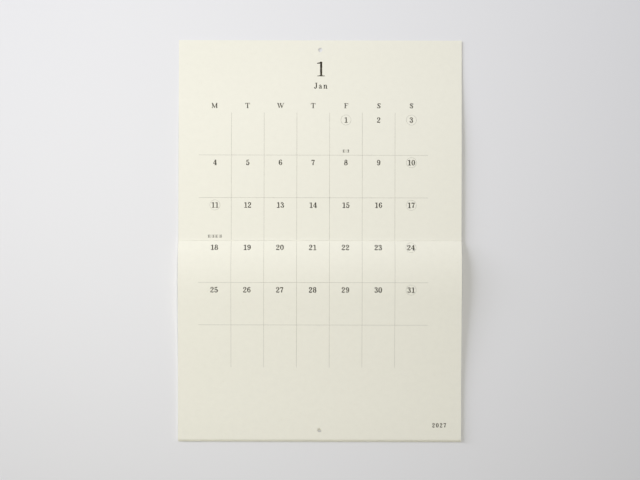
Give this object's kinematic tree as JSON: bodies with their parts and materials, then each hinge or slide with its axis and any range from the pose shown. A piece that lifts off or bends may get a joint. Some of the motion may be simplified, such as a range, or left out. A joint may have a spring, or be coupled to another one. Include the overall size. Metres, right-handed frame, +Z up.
{
  "type": "wall calendar",
  "caption": "Stapled booklet wall calendar hung open at its first month, raised cover above and pages below the fold.",
  "frame": {"origin": "centre of the hanging hole, on the wall side of the raised cover", "axes": "+X to the right, +Z up, -Y out of the wall towards the reader; the wall is the plane y = 0"},
  "size_m": [0.297, 0.01, 0.42],
  "materials": {
    "cover_paper": "uncoated, ivory, printed",
    "page_paper": "uncoated, ivory, printed",
    "staple_wire": "drawn galvanised wire"
  },
  "bodies": {
    "raised_cover": {"front_cover": "cover_paper"},
    "pages": {"page_block": "page_paper", "staple_left": "staple_wire", "staple_right": "staple_wire"},
    "rear_cover": {"back_cover": "cover_paper"}
  },
  "joints": [
    {"name": "front_cover_fold", "type": "hinge", "parent": "raised_cover", "child": "pages", "pos_m": [0, -0.00355, -0.2], "axis": [-1, 0, 0], "range_deg": [0, 162]},
    {"name": "back_cover_fold", "type": "hinge", "parent": "pages", "child": "rear_cover", "pos_m": [0, -0.00013, -0.2], "axis": [1, 0, 0], "range_deg": [0, 175]}
  ]
}
